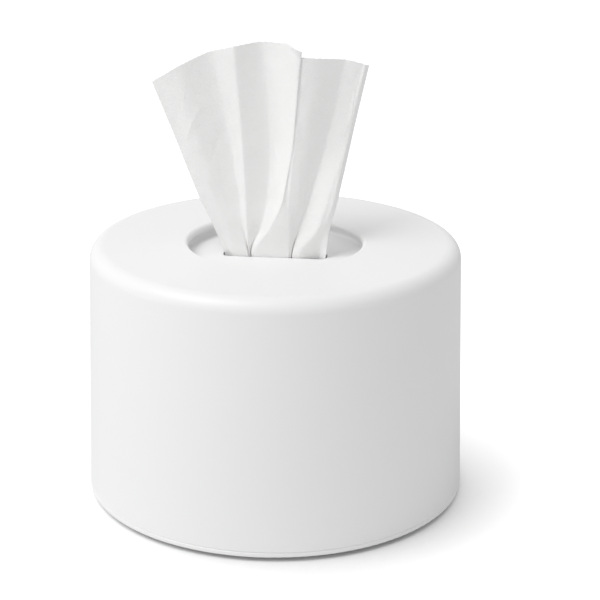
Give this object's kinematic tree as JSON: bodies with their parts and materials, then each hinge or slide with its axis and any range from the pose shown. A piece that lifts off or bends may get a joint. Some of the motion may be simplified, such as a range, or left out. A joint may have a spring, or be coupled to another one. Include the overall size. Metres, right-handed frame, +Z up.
{
  "type": "centre-pull hand towel roll in a round housing",
  "caption": "Round white table housing with a lift-off cover, slotted dish and rubber-footed base, holding a wound paper towel roll with one towel drawn up as a pleated fan.",
  "frame": {"origin": "on the table, under the housing's axis, level with the undersides of the feet", "axes": "+Z up along the housing's axis, -Y towards the viewer of the picture, +X to that viewer's right, along the slot"},
  "size_m": [0.22, 0.22, 0.2633],
  "materials": {
    "housing_white": "satin",
    "foot_rubber": "matte",
    "towel_paper": "matte"
  },
  "bodies": {
    "base_and_roll": {"base": "housing_white", "foot_1": "foot_rubber", "foot_2": "foot_rubber", "foot_3": "foot_rubber", "foot_4": "foot_rubber", "towel_roll": "towel_paper"},
    "cover_and_dish": {"cover": "housing_white", "guide_plate": "housing_white"},
    "towel": {"leading_sheet": "towel_paper"}
  },
  "joints": [
    {"name": "cover_lift", "type": "slide", "parent": "base_and_roll", "child": "cover_and_dish", "axis": [0, 0, 1], "range_m": [0, 0.145]},
    {"name": "towel_pull", "type": "slide", "parent": "cover_and_dish", "child": "towel", "axis": [0, 0, 1], "range_m": [0, 0.08]}
  ]
}
